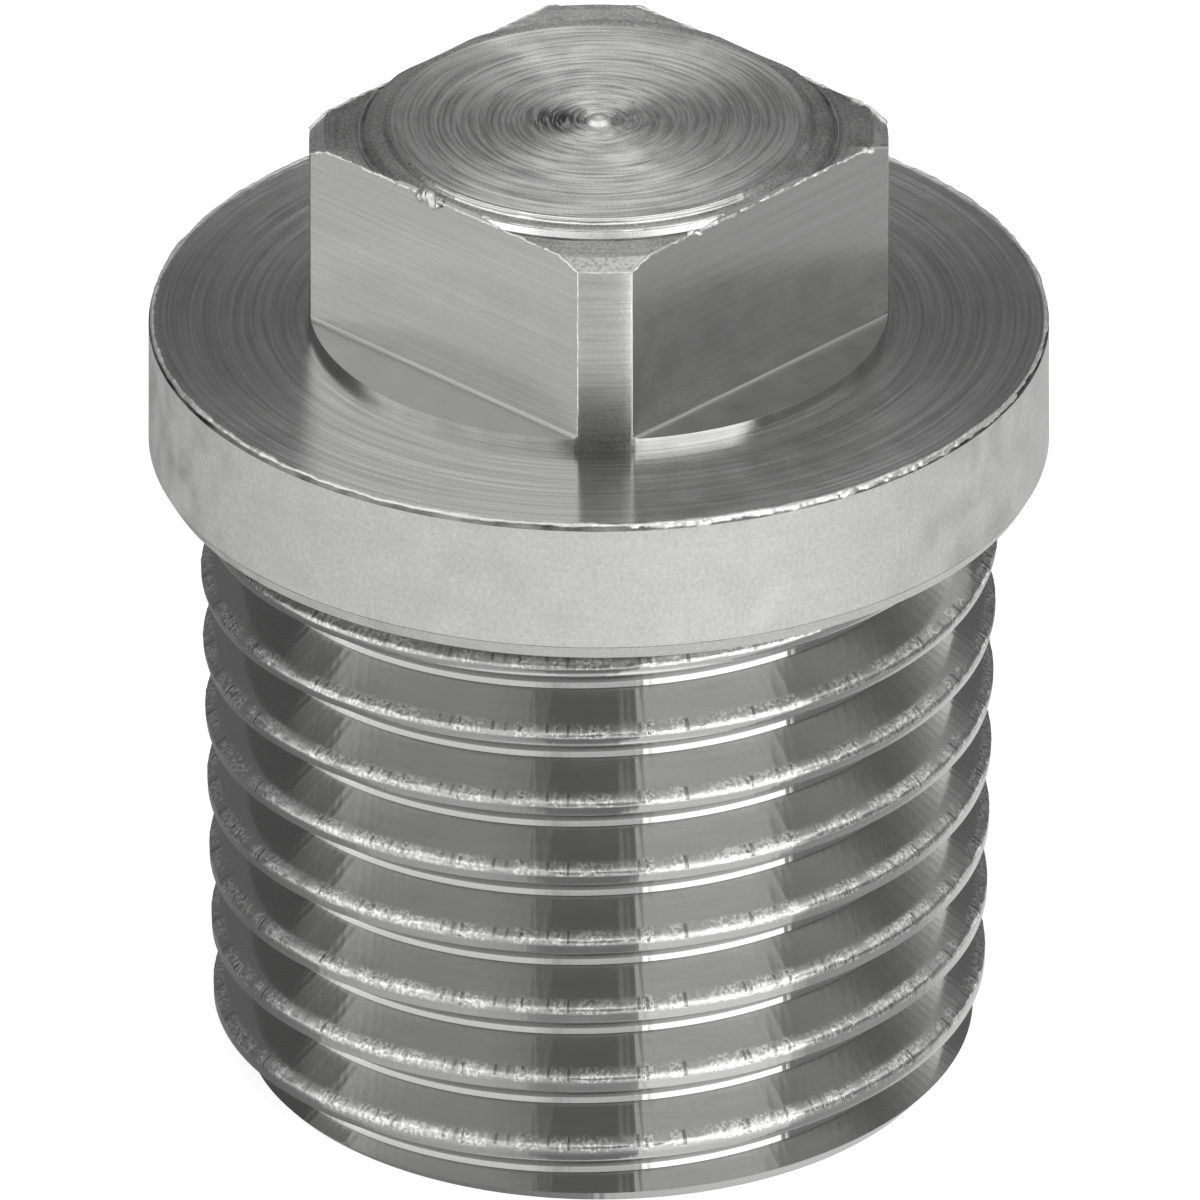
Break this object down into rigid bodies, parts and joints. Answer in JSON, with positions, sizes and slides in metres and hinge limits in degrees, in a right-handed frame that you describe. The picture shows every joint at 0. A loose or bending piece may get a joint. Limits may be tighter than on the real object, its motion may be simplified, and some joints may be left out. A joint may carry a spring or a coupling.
{
  "type": "square head pipe plug",
  "caption": "One-piece pipe plug: tapered external pipe thread R 1/2, plain round collar and a chamfered square head for a wrench.",
  "frame": {"origin": "centre of the small end face, which the plug stands on", "axes": "+Z along the axis from the threaded end to the square head; the head's flats face +X, -X, +Y and -Y"},
  "size_m": [0.024, 0.024, 0.0238],
  "materials": {
    "turned_steel": "bare stainless steel as turned and milled: fine tool rings on the faces, satin collar rim, brighter edges"
  },
  "bodies": {
    "root": {"plug": "turned_steel"}
  },
  "joints": []
}
